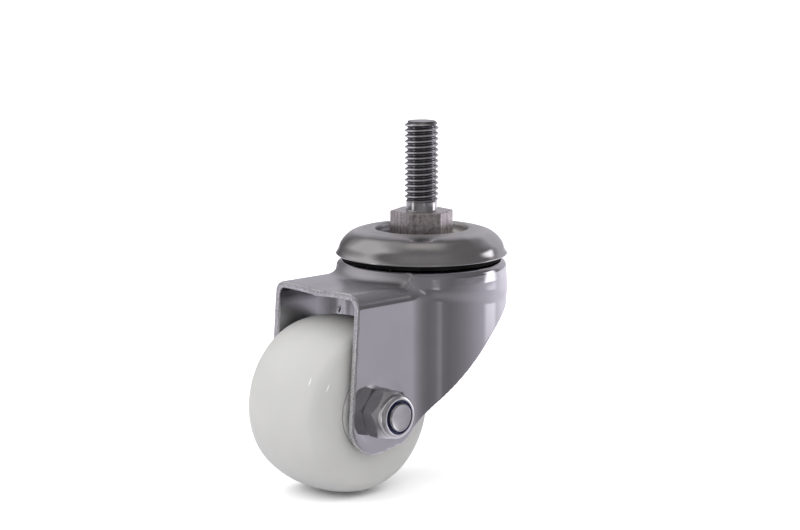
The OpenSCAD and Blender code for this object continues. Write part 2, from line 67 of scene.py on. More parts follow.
# Short ways to build a material
class Shader:
    """A material and short ways to add nodes to it."""

    def __init__(self, name):
        self.mat = bpy.data.materials.new(name)
        self.mat.use_nodes = True
        self.tree = self.mat.node_tree
        self.bsdf = self.tree.nodes["Principled BSDF"]
        self.coords = self.tree.nodes.new("ShaderNodeTexCoord").outputs["Object"]

    def node(self, kind, **values):
        n = self.tree.nodes.new("ShaderNode" + kind)
        for key, value in values.items():
            if hasattr(n, key):
                setattr(n, key, value)
            else:
                n.inputs[key.replace("_", " ")].default_value = value
        return n

    def link(self, a, b):
        self.tree.links.new(a, b)

    def put(self, value, socket):
        """A socket is linked and a plain value is written in."""
        if isinstance(value, bpy.types.NodeSocket):
            self.link(value, socket)
        else:
            socket.default_value = value

    def set(self, **values):
        for key, value in values.items():
            self.bsdf.inputs[key.replace("_", " ")].default_value = value

    def color(self, value):
        self.link(value, self.bsdf.inputs["Base Color"])

    def rough(self, value):
        self.link(value, self.bsdf.inputs["Roughness"])

    def axis(self, name):
        n = self.node("SeparateXYZ")
        self.link(self.coords, n.inputs[0])
        return n.outputs[name]

    def along(self, way):
        """How far a point lies along a direction."""
        n = self.node("VectorMath", operation="DOT_PRODUCT")
        self.link(self.coords, n.inputs[0])
        n.inputs[1].default_value = tuple(way)
        return n.outputs["Value"]

    def stretched(self, sx, sy, sz):
        m = self.node("Mapping")
        m.inputs["Scale"].default_value = (sx, sy, sz)
        self.link(self.coords, m.inputs["Vector"])
        return m.outputs["Vector"]

    def noise(self, vector, scale, detail=3.0, roughness=0.55):
        n = self.node("TexNoise", Scale=scale, Detail=detail, Roughness=roughness)
        self.link(vector, n.inputs["Vector"])
        return n.outputs["Fac"]

    def ramp(self, fac, stops):
        r = self.node("ValToRGB")
        elements = r.color_ramp.elements
        for i, (at, color) in enumerate(stops):
            e = elements[i] if i < len(elements) else elements.new(at)
            e.position = at
            e.color = (*color, 1.0)
        self.link(fac, r.inputs["Fac"])
        return r.outputs["Color"]

    def tones(self, fac, dark, light, start=0.3, end=0.7):
        """Dark up to the factor start, light from the factor end on."""
        return self.ramp(fac, [(start, dark), (end, light)])

    def between(self, fac, low, high, start=0.0, end=1.0):
        """The factor's run from start to end, taken to low up to high."""
        m = self.node("MapRange")
        names = ("From Min", "From Max", "To Min", "To Max")
        for name, value in zip(names, (start, end, low, high)):
            m.inputs[name].default_value = value
        self.link(fac, m.inputs["Value"])
        return m.outputs["Result"]

    def change(self, place, run, none=0.0, full=1.0):
        """None before a run of places and full after it; the run's two ends are in millimetres."""
        return self.between(place, none, full, run[0] * MM, run[1] * MM)

    def maths(self, operation, a, b=0.0):
        m = self.node("Math", operation=operation)
        self.put(a, m.inputs[0])
        self.put(b, m.inputs[1])
        return m.outputs["Value"]

    def scaled(self, a, b):
        return self.maths("MULTIPLY", a, b)

    def length(self, *parts):
        """Length of a vector from its parts."""
        total = self.scaled(parts[0], parts[0])
        for part in parts[1:]:
            total = self.maths("ADD", total, self.scaled(part, part))
        return self.maths("SQRT", total)

    def radius(self):
        """Distance from the swivel axis."""
        return self.length(self.axis("X"), self.axis("Y"))

    def blend(self, fac, a, b):
        """A number between two others."""
        m = self.node("Mix", data_type="FLOAT")
        for i, v in ((0, fac), (2, a), (3, b)):
            self.put(v, m.inputs[i])
        return m.outputs[0]

    def mix(self, fac, a, b):
        """A colour between two others."""
        m = self.node("Mix", data_type="RGBA")
        for i, v in ((0, fac), (6, a), (7, b)):
            self.put(v, m.inputs[i])
        return m.outputs[2]

    def bump(self, height, strength=1.0, distance=1.0):
        """Relief; with the strength and distance left at 1 the height is in metres."""
        b = self.node("Bump", Strength=strength, Distance=distance)
        self.link(height, b.inputs["Height"])
        self.link(b.outputs["Normal"], self.bsdf.inputs["Normal"])


# Depths of relief in metres, and how many times finer the grain is than the drift of the tone
GRAIN_DEPTH = 0.00002
PLASTIC_GRAIN = 0.00003
FINER = 8.0
PLASTIC_FINER = 12


def metal(name, dark, light, rough_low, rough_high, scale, bump=0.0, metallic=1.0):
    """Metal whose tone drifts softly and whose gloss has a fine grain."""
    s = Shader(name)
    fine = s.noise(s.coords, scale * FINER, 4.0)
    s.color(s.tones(s.noise(s.coords, scale), dark, light))
    s.rough(s.between(fine, rough_low, rough_high))
    s.set(Metallic=metallic)
    if bump:
        s.bump(fine, bump, GRAIN_DEPTH)
    return s.mat


def plastic(name, dark, light, rough, scale, bump):
    """Moulded plastic or rubber. The shader is returned, so that more can be added to it."""
    s = Shader(name)
    fine = s.noise(s.coords, scale * PLASTIC_FINER, 4.0)
    s.color(s.tones(s.noise(s.coords, scale), dark, light))
    s.rough(s.between(fine, rough - 0.05, rough + 0.07))
    s.bump(fine, bump, PLASTIC_GRAIN)
    return s


# The fork's steel. Each run of places, in millimetres, is where a change begins and ends.
HEAD_Z = (-21.5, -18.5)
DENTED_X = (-19.5, -16.5)
ROUGH_X = (-17.5, -19.5)
ROUGH_Z = (-14.3, -15.0)
UNDERSIDE_Z = (-25.0, -22.5)
UNDERSIDE_X = (-27.0, -22.0)
ROUGH_VALLEY = 0.34
ROUGH_CUT = 0.30
ROUGH_INNER = 0.26
# Depths of relief in metres
FORK_WAVE = 0.0004
POLISH_GRAIN = 0.000001
TORN_GRAIN = 0.000012


def fork_steel():
    """Polished sheet, a little wavy round the head, rough on the flat plate and round the drum's
    foot, rougher and painted dark as painted shade on the inside of the head and the back, and finely
    torn where it was sheared."""
    s = Shader("polished_fork")
    x = s.axis("X")
    z = s.axis("Z")
    cut = s.node("Attribute", attribute_name="sheared").outputs["Fac"]
    inner = s.node("Attribute", attribute_name="inner").outputs["Fac"]
    fine = s.noise(s.coords, 700, 4.0)
    torn = s.noise(s.coords, 2200, 2.0)
    wave = s.noise(s.coords, 95, 1.5)
    head = s.change(z, HEAD_Z)

    polish = s.tones(s.noise(s.coords, 55), (0.565, 0.555, 0.585), (0.615, 0.605, 0.63))
    raw = s.tones(torn, (0.60, 0.59, 0.62), (0.88, 0.87, 0.89), 0.35, 0.62)
    # Painted shade: the inside of the head and of the back is painted much darker than the polished
    # outside.
    painted_shade_inside = s.tones(wave, (0.13, 0.125, 0.13), (0.30, 0.29, 0.30), 0.4, 0.62)
    under = s.maths("MAXIMUM", s.change(z, UNDERSIDE_Z), s.change(x, UNDERSIDE_X, full=0.8))
    s.color(s.mix(cut, s.mix(s.scaled(inner, under), polish, painted_shade_inside), raw))

    valley = s.scaled(s.change(x, ROUGH_X), s.scaled(head, s.change(z, ROUGH_Z)))
    gloss = s.blend(inner, s.between(fine, 0.05, 0.11), ROUGH_INNER)
    s.rough(s.blend(valley, s.blend(cut, gloss, ROUGH_CUT), ROUGH_VALLEY))

    dented = s.scaled(head, s.change(x, DENTED_X, none=0.35))
    grain = s.blend(cut, s.scaled(fine, POLISH_GRAIN), s.scaled(torn, TORN_GRAIN))
    s.bump(s.maths("ADD", grain, s.scaled(s.scaled(wave, dented), FORK_WAVE)))
    s.set(Metallic=1.0)
    return s.mat


# The stem's steel. The runs of places are heights, and for the crest distances from the axis.
HEXAGON_Z = (0.2, -0.1)
NECK_Z = (3.0, 2.2)
CREST_R = (4.40, 4.90)
ROUGH_HEXAGON = 0.36
HEXAGON_GRAIN = 0.00003


def stem_steel():
    """Turned bar: grooves painted dark as painted shade and crests painted bright as a painted
    highlight, a plain neck, and a matt, speckled hexagon.
    """
    s = Shader("turned_stem")
    z = s.axis("Z")
    drift = s.noise(s.coords, 160)
    lines = s.noise(s.stretched(1, 1, 0.06), 1300, 3.0)
    speckle = s.noise(s.stretched(1, 1, 0.8), 1300, 3.0, 0.7)
    grain = s.blend(0.55, lines, speckle)
    hexagon = s.change(z, HEXAGON_Z)

    # Painted shade and highlight: the thread's grooves are painted dark and its crests bright.
    painted_groove_shade = s.tones(drift, (0.17, 0.165, 0.18), (0.24, 0.235, 0.25))
    painted_crest_highlight = s.tones(drift, (0.80, 0.79, 0.81), (0.92, 0.91, 0.93))
    plain = s.tones(drift, (0.50, 0.49, 0.50), (0.60, 0.59, 0.60))
    body = s.ramp(grain, [(0.36, (0.27, 0.24, 0.24)),
                          (0.52, (0.50, 0.455, 0.455)),
                          (0.68, (0.76, 0.70, 0.71))])
    thread = s.mix(s.change(s.radius(), CREST_R), painted_groove_shade, painted_crest_highlight)
    turned = s.mix(s.change(z, NECK_Z), thread, plain)
    s.color(s.mix(hexagon, turned, body))

    s.rough(s.blend(hexagon, s.between(drift, 0.12, 0.2), ROUGH_HEXAGON))
    s.bump(s.scaled(grain, hexagon), 0.25, HEXAGON_GRAIN)
    s.set(Metallic=1.0)
    return s.mat


# The cap's steel. The runs are distances from the axis, and for the recess's pale painted reflection a
# way to the right.
RECESS_R = (13.7, 13.3)
FLAT_CREST_R = (19.5, 16.5)
REFLECTION_ACROSS = (7.5, 10.0)
ROUGH_CREST = 0.42
BRUSH_STRETCH = 60.0
CAP_WAVE = 0.0006
CAP_GRAIN = 0.000003


def cap_steel():
    """Pressed cap, finely brushed round its axis and a little wavy. Its recess round the hexagon has
    painted shade on the picture's left and a pale painted reflection on its right."""
    s = Shader("brushed_cap")
    drift = s.noise(s.coords, 70)
    wave = s.noise(s.coords, 75, 1.5)
    ring = s.node("CombineXYZ")
    s.link(s.scaled(s.radius(), BRUSH_STRETCH), ring.inputs[0])
    s.link(s.scaled(s.axis("Z"), BRUSH_STRETCH), ring.inputs[1])
    brushed = s.noise(ring.outputs[0], 160, 4.0, 0.7)
    grain = s.blend(0.35, brushed, s.noise(s.coords, 900, 3.0))

    dark = s.tones(drift, (0.46, 0.45, 0.45), (0.52, 0.51, 0.51))
    light = s.tones(drift, (0.60, 0.59, 0.59), (0.68, 0.67, 0.67))
    outside = s.mix(s.between(grain, 0.2, 0.8), dark, light)
    # Painted shade and reflection in the recess: dark on the picture's left, pale on its right.
    painted_recess_shade = s.tones(drift, (0.26, 0.25, 0.27), (0.34, 0.33, 0.35))
    painted_recess_reflection = s.tones(drift, (0.66, 0.65, 0.62), (0.74, 0.73, 0.69))
    inside = s.mix(s.change(s.along(ACROSS), REFLECTION_ACROSS), painted_recess_shade, painted_recess_reflection)
    s.color(s.mix(s.change(s.radius(), RECESS_R), outside, inside))

    crest = s.change(s.radius(), FLAT_CREST_R)
    s.rough(s.blend(crest, s.between(grain, 0.08, 0.22), ROUGH_CREST))
    s.bump(s.maths("ADD", s.scaled(grain, CAP_GRAIN), s.scaled(wave, CAP_WAVE)))
    s.set(Metallic=1.0)
    return s.mat


# Two small pale streaks on the wheel, painted highlights where its rings catch the light, in
# millimetres, where they lie when the wheel is at rest
HIGHLIGHT_STREAKS = ((-53.7, -11.1, -41.0), (-49.7, -14.0, -42.9))
STREAK_LEAN = 0.36
STREAK_HALF_WIDTH = 0.24
STREAK_HALF_LENGTH = 1.7
STREAK_DEPTH = 3.0
PAINTED_HIGHLIGHT_COLOR = (0.62, 0.62, 0.61, 1.0)
STREAK_COVER = 0.9


def painted_highlight_streaks(s):
    """Pale upright streaks, painted highlights, laid over the colour that the shader has so far."""
    color = s.bsdf.inputs["Base Color"].links[0].from_socket
    reaches = ((ACROSS - STREAK_LEAN * UP, STREAK_HALF_WIDTH),
               (UP + STREAK_LEAN * ACROSS, STREAK_HALF_LENGTH),
               (BACK, STREAK_DEPTH))
    for mark in HIGHLIGHT_STREAKS:
        parts = []
        for way, reach in reaches:
            off = s.maths("SUBTRACT", s.along(way), float(np.dot(way, mark)) * MM)
            parts.append(s.scaled(off, 1 / (reach * MM)))
        cover = s.between(s.length(*parts), STREAK_COVER, 0.0, 0.3, 1.0)
        color = s.mix(cover, color, PAINTED_HIGHLIGHT_COLOR)
    s.color(color)


FORK_STEEL = fork_steel()
CAP_STEEL = cap_steel()
STEM_STEEL = stem_steel()
BRIGHT = metal("bright_plating", (0.56, 0.56, 0.57), (0.68, 0.67, 0.68), 0.08, 0.16, 150, 0.05)
NUT_STEEL = metal("nut_plating", (0.72, 0.715, 0.725), (0.86, 0.85, 0.86), 0.14, 0.26, 150, 0.05)
GROUND = metal("ground_steel", (0.62, 0.62, 0.63), (0.72, 0.72, 0.73), 0.08, 0.16, 200)
TURNED = metal("turned_steel", (0.42, 0.42, 0.43), (0.55, 0.55, 0.56), 0.22, 0.34, 200)
MATT = metal("matt_ring", (0.54, 0.54, 0.53), (0.62, 0.62, 0.61), 0.5, 0.6, 200, metallic=0.3)
CAGE = metal("cage_brass", (0.52, 0.42, 0.2), (0.62, 0.50, 0.26), 0.25, 0.4, 200)

NYLON = plastic("natural_nylon", (0.358, 0.356, 0.350), (0.388, 0.386, 0.380), 0.42, 40, 0.15)
# Two pale streaks painted on the wheel as highlights.
painted_highlight_streaks(NYLON)
NYLON.set(Subsurface_Weight=0.15, Subsurface_Scale=0.002, Subsurface_Radius=(1.0, 0.95, 0.8))
BLUE = plastic("blue_nylon", (0.003, 0.005, 0.03), (0.008, 0.014, 0.07), 0.3, 300, 0.1)
BLACK = plastic("black_rubber", (0.002, 0.002, 0.002), (0.006, 0.006, 0.006), 0.7, 300, 0.2)
BLACK.set(Specular_IOR_Level=0.1)


def give(names, mat):
    for name in names:
        materials = nodes[name].data.materials
        materials.clear()
        materials.append(mat)


give(nodes, GROUND)
give(("centre_sleeve", "right_spacer", "left_spacer", "lower_race"), TURNED)
give(("right_ball_cage", "left_ball_cage"), CAGE)
give(("right_outer_ring", "left_outer_ring", "right_shields", "left_shields"), MATT)
give(("nut_insert",), BLUE.mat)
give(("dust_ring",), BLACK.mat)


# Short ways to build a mesh, in millimetres
ON_AXIS = 1e-6


def piece(name, points, faces, mat, body, stands_for, normals=None, sharp=None):
    """A mesh piece in millimetres that rides on a body and stands for CAD nodes."""
    mesh = bpy.data.meshes.new(name)
    mesh.from_pydata((np.asarray(points) * MM).tolist(), [], [list(map(int, f)) for f in faces])
    mesh.validate()
    mesh.shade_smooth()
    if sharp is not None:
        mesh.set_sharp_from_angle(angle=math.radians(sharp))
    if normals is not None:
        mesh.normals_split_custom_set_from_vertices(normals.tolist())
    mesh.materials.append(mat)
    obj = bpy.data.objects.new(name, mesh)
    bpy.context.scene.collection.objects.link(obj)
    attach(obj, body)
    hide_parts(*stands_for)
    return obj


def lathe(profile, n, close=True):
    """Points and faces of a profile of (radius, height) turned about Z. Ends on the axis make fans."""
    profile = np.array(profile, float)
    m = len(profile)
    turn = np.arange(n) * 2 * math.pi / n
    points = np.stack([np.outer(profile[:, 0], np.cos(turn)),
                       np.outer(profile[:, 0], np.sin(turn)),
                       np.repeat(profile[:, 1:2], n, 1)], -1).reshape(-1, 3)
    faces = []
    for i in range(m if close else m - 1):
        j = (i + 1) % m
        if profile[i, 0] < ON_AXIS and profile[j, 0] < ON_AXIS:
            continue
        for k in range(n):
            q = (k + 1) % n
            ring = [i * n + k, i * n + q, j * n + q, j * n + k]
            if profile[i, 0] < ON_AXIS:
                ring = [ring[0], ring[2], ring[3]]
            elif profile[j, 0] < ON_AXIS:
                ring = ring[:3]
            faces.append(ring[::-1])
    return points, faces


def about_axle(points):
    """From a lathe's own Z to the axle: the lathe's +Z becomes +Y."""
    p = np.asarray(points)
    return np.stack([p[:, 0] + AXLE_X, p[:, 2], -p[:, 1] + AXLE_Z], -1)


def turn_points(cx, cz, r, start, end, n):
    """Points of an arc, its turns in degrees."""
    turns = np.radians(np.linspace(start, end, n))
    return [(cx + r * math.cos(t), cz + r * math.sin(t)) for t in turns]


def smooth_path(points, per):
    """A round curve through the points, for a profile without corners."""
    p = np.array(points, float)
    p = np.vstack([2 * p[0] - p[1], p, 2 * p[-1] - p[-2]])
    out = []
    for i in range(1, len(p) - 2):
        a, b, c, d = p[i - 1:i + 3]
        for t in np.linspace(0, 1, per, endpoint=False):
            out.append(0.5 * (2 * b + (c - a) * t + (2 * a - 5 * b + 4 * c - d) * t * t
                              + (3 * b - a - 3 * c + d) * t ** 3))
    out.append(p[-2])
    return [tuple(q) for q in out]


def joined(*parts):
    """Several lots of points and faces as one."""
    points = []
    faces = []
    base = 0
    for p, f in parts:
        points.append(np.asarray(p, float))
        faces += [[v + base for v in face] for face in f]
        base += len(p)
    return np.vstack(points), faces


# Distance fields, in millimetres: negative inside, positive outside
def smooth_step(t):
    t = np.clip(t, 0.0, 1.0)
    return t * t * (3 - 2 * t)


def soft_min(a, b, k):
    h = np.maximum(k - np.abs(a - b), 0.0) / k
    return np.minimum(a, b) - h * h * k / 4


def soft_max(a, b, k):
    return -soft_min(-a, -b, k)


def rounded(a, b, r):
    """Two faces that meet in an outward corner of radius r."""
    flat = np.minimum(np.maximum(a, b), -r) + r
    return flat + np.hypot(np.maximum(a + r, 0), np.maximum(b + r, 0)) - r


SLOPE_STEP = 0.02
LEAST_SLOPE = 0.05


def gradient(field, p):
    g = np.empty_like(p)
    for i in range(3):
        d = np.zeros(3)
        d[i] = SLOPE_STEP
        a, b = p + d, p - d
        rise = field(a[:, 0], a[:, 1], a[:, 2]) - field(b[:, 0], b[:, 1], b[:, 2])
        g[:, i] = rise / (2 * SLOPE_STEP)
    return g


def settled(field, points, steps=4):
    """Points moved onto the zero surface along the field's slope, and the outward normals there."""
    for _ in range(steps):
        d = field(points[:, 0], points[:, 1], points[:, 2])
        g = gradient(field, points)
        points = points - g * (d / np.maximum((g * g).sum(1), LEAST_SLOPE))[:, None]
    g = gradient(field, points)
    return points, g / np.linalg.norm(g, axis=1)[:, None]


def crossing_points(v, cells):
    """For each cell, the middle of the places where its edges cross the zero surface, in cells."""
    points = np.zeros((len(cells), 3))
    hits = np.zeros(len(cells))
    for axis in range(3):
        first, second = [a for a in range(3) if a != axis]
        for da in (0, 1):
            for db in (0, 1):
                p = cells.copy()
                p[:, first] += da
                p[:, second] += db
                q = p.copy()
                q[:, axis] += 1
                va, vb = v[tuple(p.T)], v[tuple(q.T)]
                cut = (va < 0) != (vb < 0)
                at = p.astype(float)
                at[:, axis] += np.where(cut, va / np.where(cut, va - vb, 1), 0)
                points[cut] += at[cut]
                hits[cut] += 1
    return points / hits[:, None]


def crossing_quads(inside, index, axis):
    """A quad round each grid edge along one axis that crosses the zero surface."""
    a, b = [k for k in range(3) if k != axis]
    shape = inside.shape
    first = np.take(inside, range(0, shape[axis] - 1), axis)
    second = np.take(inside, range(1, shape[axis]), axis)
    edge = np.argwhere(first != second)
    off_rim = (edge[:, a] > 0) & (edge[:, b] > 0)
    off_rim &= (edge[:, a] < shape[a] - 1) & (edge[:, b] < shape[b] - 1)
    edge = edge[off_rim]
    quad = []
    for da, db in ((0, 0), (-1, 0), (-1, -1), (0, -1)):
        c = edge.copy()
        c[:, a] += da
        c[:, b] += db
        quad.append(index[tuple(c.T)])
    quad = np.array(quad).T
    goes_in = ~first[tuple(edge.T)]
    turned = goes_in if axis != 1 else ~goes_in
    quad[turned] = quad[turned][:, ::-1]
    return quad


def surface_of(field, low, high, step):
    """Quads on the zero surface of a field, one corner per grid cell that it crosses."""
    axes = [np.arange(a, b + step, step) for a, b in zip(low, high)]
    nx, ny, nz = (len(a) for a in axes)
    v = np.empty((nx, ny, nz), np.float32)
    yy, zz = np.meshgrid(axes[1], axes[2], indexing="ij")
    for i, x in enumerate(axes[0]):
        v[i] = field(np.full(yy.shape, x), yy, zz)
    inside = v < 0
    corners = [inside[i:nx - 1 + i, j:ny - 1 + j, k:nz - 1 + k]
               for i in (0, 1) for j in (0, 1) for k in (0, 1)]
    count = sum(c.astype(np.int8) for c in corners)
    crossed = (count > 0) & (count < len(corners))
    cells = np.argwhere(crossed)
    index = np.full(crossed.shape, -1, np.int64)
    index[crossed] = np.arange(len(cells))
    points = np.array(low) + crossing_points(v, cells) * step
    return points, np.vstack([crossing_quads(inside, index, axis) for axis in range(3)])


# The pressed fork
# One sheet. Its outer form is a distance field: a channel, a drum, a crown and a round skirt that
# run into each other. The sheet is all that lies within its thickness of that form.
SHEET = 2.0
# The channel: two legs under a flat plate, bent tighter on the bolt head's side than on the nut's.
# The plate sags a little in the middle of its front.
LEG_OUT = 17.5
PLATE_Z = -17.8
CHANNEL_BACK = 4.0
BEND_NUT_SIDE = 4.4
BEND_HEAD_SIDE = 3.4
BEND_CHANGE = 4.0
SAG = 0.5
SAG_WIDTH = 5.5
SAG_START = -28.0
SAG_RUN = 13.0
# The drum rises out of the plate; its wall faces out and up by these two shares
DRUM_Z = -14.3
DRUM_R = 23.35
DRUM_OUT, DRUM_UP = 0.859, 0.512
DRUM_EDGE = 0.7
DRUM_BOTTOM = PLATE_Z - 3
# How softly the drum and the skirt run into the channel: at the plate, and lower down
DRUM_FOOT = 2.2
LOW_FOOT = 3.2
LOW_FOOT_Z = -19.0
LOW_FOOT_RUN = 2.5
# The crown on the drum as (distance from the axis, height): a flat hub that falls in a soft step
# to the ring where the upper balls run, and on to the drum's top
HUB_Z = -11.3
CROWN = np.array([(0, HUB_Z), (15.2, HUB_Z), (15.9, -11.6), (16.5, -12.3), (17.3, -13.2),
                  (18.3, -13.7), (19.3, -13.85), (20.4, -13.95), (22.7, DRUM_Z), (24.0, DRUM_Z)])
CROWN_STEEPNESS = 0.85
CROWN_R = 22.0
CROWN_SOFT = 0.3
# The skirt closes the back. Below its sloping shoulder it is narrower and shifted back.
SKIRT_R = 25.15
SKIRT_ROUND = 1.9
SKIRT_LEAN = 0.06
LOW_SKIRT_X = 0.6
LOW_SKIRT_R = 24.5
SHOULDER_Z = -21.6
SHOULDER_SOFT = 4.0
SHOULDER_SLOPE = 0.11
SHOULDER_X = -8.0
# Ahead of this place and between these sides the drum shows, and elsewhere the skirt
WINDOW_X = -19.0
WINDOW_Y = 15.2
CREASE_SOFT = 0.7
# The axle's hole and the shallow dish round it in each leg
AXLE_HOLE_R = 4.05
DISH_R = 9.0
DISH_DEPTH = 0.14
DISH_SOFT = 3.2
LEGS_FROM_Y = 12.0
# A round press mark inside the far leg
MARK_AT = (-18.1, 14.4, -29.1)
MARK_R = 1.6
# The kingpin's hole through the crown
KINGPIN_HOLE_R = 6.4
CROWN_FROM_Z = -16.0
# How softly edges run: of the sheet, of its outline and of its holes
SHEET_EDGE = 0.12
OUTLINE_EDGE = 0.5
HOLE_EDGE = 0.1
DEEP_INSIDE = -9.0
# The side outline: round toe and heel as (x, z, radius), then the slanted back
FRONT_X = -41.0
TOE = (-34.2, -54.4, 9.5)
HEEL = (-26.3, -56.6, 6.0)
BACK_X = SKIRT_R + 2
BACK_Z = -23.0
BACK_SLOPE = 0.4
KNEE_BEFORE = 6
KNEE_AFTER = 7
OVER_TOP = 5.0


def side_outline():
    """Closed outline of the fork seen along the axle: straight front, round toe, slanted back."""
    front_top = (FRONT_X, PLATE_Z)
    reach = (TOE[0] - front_top[0], TOE[1] - front_top[1])
    front = math.degrees(math.atan2(-reach[1], -reach[0])
                         + math.acos(TOE[2] / math.hypot(*reach)))
    sole = (HEEL[0] - TOE[0], HEEL[1] - TOE[1])
    sole_turn = math.degrees(math.atan2(sole[1], sole[0])
                             - math.acos((TOE[2] - HEEL[2]) / math.hypot(*sole)))
    points = [(FRONT_X, OVER_TOP), front_top]
    points += turn_points(*TOE, front, 360 + sole_turn, 24)
    points += turn_points(*HEEL, sole_turn, -45, 10)
    heel_x, heel_z = points[-1]
    # The back rises at 45 degrees to a soft knee and then at BACK_SLOPE to the skirt's edge
    run = BACK_X - heel_x
    step = (BACK_Z - heel_z - BACK_SLOPE * run) / (1 - BACK_SLOPE)
    knee = np.array((heel_x + step, heel_z + step))
    before = knee - KNEE_BEFORE
    after = knee + np.array((KNEE_AFTER, KNEE_AFTER * BACK_SLOPE))
    for t in np.linspace(0, 1, 12):
        points.append(tuple((1 - t) ** 2 * before + 2 * t * (1 - t) * knee + t * t * after))
    points += [(BACK_X, BACK_Z), (BACK_X, OVER_TOP)]
    return np.array(points)


OUTLINE = side_outline()


def outline_distance(x, z):
    """Signed distance to the side outline, negative inside it."""
    best = np.full(x.shape, 1e9)
    inside = np.zeros(x.shape, bool)
    for (ax, az), (bx, bz) in zip(OUTLINE, np.roll(OUTLINE, -1, 0)):
        ex, ez = bx - ax, bz - az
        wx, wz = x - ax, z - az
        t = np.clip((wx * ex + wz * ez) / (ex * ex + ez * ez), 0, 1)
        best = np.minimum(best, (wx - t * ex) ** 2 + (wz - t * ez) ** 2)
        if ez:
            spans = (az > z) != (bz > z)
            inside ^= spans & (x < ax + (z - az) * ex / ez)
    best = np.sqrt(best)
    return np.where(inside, -best, best)


def channel_form(x, y, z):
    head_side = smooth_step((y + BEND_CHANGE) / (2 * BEND_CHANGE))
    bend = BEND_NUT_SIDE + (BEND_HEAD_SIDE - BEND_NUT_SIDE) * head_side
    sag = SAG * np.exp(-(y / SAG_WIDTH) ** 2) * smooth_step((SAG_START - x) / SAG_RUN)
    channel = rounded(np.abs(y) - LEG_OUT, z - PLATE_Z + sag, bend)
    return np.maximum(channel, x - CHANNEL_BACK)


def skirt_form(x, y, z):
    height = z - SHOULDER_Z + SHOULDER_SLOPE * (x - SHOULDER_X)
    low = 1 - smooth_step(height / SHOULDER_SOFT + 0.5)
    lean = SKIRT_LEAN * np.maximum(z - SHOULDER_Z, 0)
    radius = SKIRT_R - lean + low * (LOW_SKIRT_R - SKIRT_R)
    return rounded(np.hypot(x - low * LOW_SKIRT_X, y) - radius, z - DRUM_Z, SKIRT_ROUND)


def drum_form(x, y, z):
    wall = (np.hypot(x, y) - DRUM_R) * DRUM_OUT + (z - DRUM_Z) * DRUM_UP
    return np.maximum(soft_max(wall, z - DRUM_Z, DRUM_EDGE), DRUM_BOTTOM - z)


def crown_form(x, y, z):
    r = np.hypot(x, y)
    above = z - np.interp(r, CROWN[:, 0], CROWN[:, 1])
    return np.maximum(above * CROWN_STEEPNESS, r - CROWN_R)


def outer_form(x, y, z):
    """Signed distance to the fork's outer form, as if it were filled."""
    window = np.maximum(x - WINDOW_X, np.abs(y) - WINDOW_Y)
    in_window = smooth_step(0.5 - window / CREASE_SOFT)
    round_head = in_window * drum_form(x, y, z) + (1 - in_window) * skirt_form(x, y, z)
    head = soft_min(round_head, crown_form(x, y, z), CROWN_SOFT)
    foot = DRUM_FOOT + (LOW_FOOT - DRUM_FOOT) * smooth_step((LOW_FOOT_Z - z) / LOW_FOOT_RUN)
    return soft_min(head, channel_form(x, y, z), foot)


def fork_distance(x, y, z):
    """Signed distance to the sheet itself."""
    axle = np.hypot(x - AXLE_X, z - AXLE_Z)
    in_dish = 1 - smooth_step((axle - DISH_R + DISH_SOFT / 2) / DISH_SOFT)
    form = outer_form(x, y, z) + DISH_DEPTH * in_dish * (np.abs(y) > LEGS_FROM_Y)
    mark = np.sqrt((x - MARK_AT[0]) ** 2 + (y - MARK_AT[1]) ** 2 + (z - MARK_AT[2]) ** 2)
    kingpin = np.where(z > CROWN_FROM_Z, KINGPIN_HOLE_R - np.hypot(x, y), DEEP_INSIDE)
    sheet = soft_max(form, -(form + SHEET), SHEET_EDGE)
    sheet = soft_max(sheet, outline_distance(x, z), OUTLINE_EDGE)
    sheet = soft_max(sheet, AXLE_HOLE_R - axle, HOLE_EDGE)
    sheet = soft_max(sheet, MARK_R - mark, HOLE_EDGE)
    return soft_max(sheet, kingpin, HOLE_EDGE)


# The grid that the fork's surface is found on, and where its cut edges and its inside begin
GRID_LOW = (-45, -27, -65)
GRID_HIGH = (28, 27, -10)
GRID_STEP = 0.55
SHEARED_FROM = -0.42
SHEARED_RUN = 0.3
INNER_FROM = 0.6 * SHEET
INNER_RUN = 0.2 * SHEET


def build_fork():
    points, faces = surface_of(fork_distance, GRID_LOW, GRID_HIGH, GRID_STEP)
    points, normals = settled(fork_distance, points)
    fork = piece("pressed_fork", points, faces, FORK_STEEL, "fork", ["fork"], normals)
    x, y, z = points.T
    marks = {"sheared": smooth_step((outline_distance(x, z) - SHEARED_FROM) / SHEARED_RUN),
             "inner": smooth_step((-outer_form(x, y, z) - INNER_FROM) / INNER_RUN)}
    for name, values in marks.items():
        attribute = fork.data.attributes.new(name, "FLOAT", "POINT")
        attribute.data.foreach_set("value", values.astype(np.float32))


# The swivel cap, as (distance from the axis, height): its upper face outwards, its turned edge, and
# its lower face back inwards over the balls' track
HEX_FOOT = -8.0
CAP_HOLE = 4.1
CAP_UNDER = -10.0
CAP_ROUND = [(12.3, -7.95), (13.0, -7.5), (13.3, -6.7), (13.45, -5.7), (13.75, -5.2),
             (14.3, -5.05), (15.2, -5.1), (16.6, -5.28), (18.4, -5.6), (20.5, -6.3),
             (22.25, -7.6), (23.6, -9.3), (24.25, -10.9), (24.5, -11.5), (24.92, -12.3)]
CAP_EDGE = (24.8, -12.42, 0.22)
CAP_TRACK = (19.2, -10.7, 3.1)


def build_cap():
    face = [(CAP_HOLE, HEX_FOOT), (11.6, HEX_FOOT)]
    face += smooth_path(CAP_ROUND, 5)
    face += turn_points(*CAP_EDGE, 20, -90, 5)
    face += [(23.1, -12.6), (22.35, -11.2)]
    face += turn_points(*CAP_TRACK, -8, 82, 10)
    face += [(17.5, -7.4), (16.1, -7.4), (13.4, CAP_UNDER), (CAP_HOLE, CAP_UNDER)]
    points, faces = lathe(face, 192)
    piece("pressed_cap", points, faces, CAP_STEEL, "head", ["swivel_cap"], sharp=50)


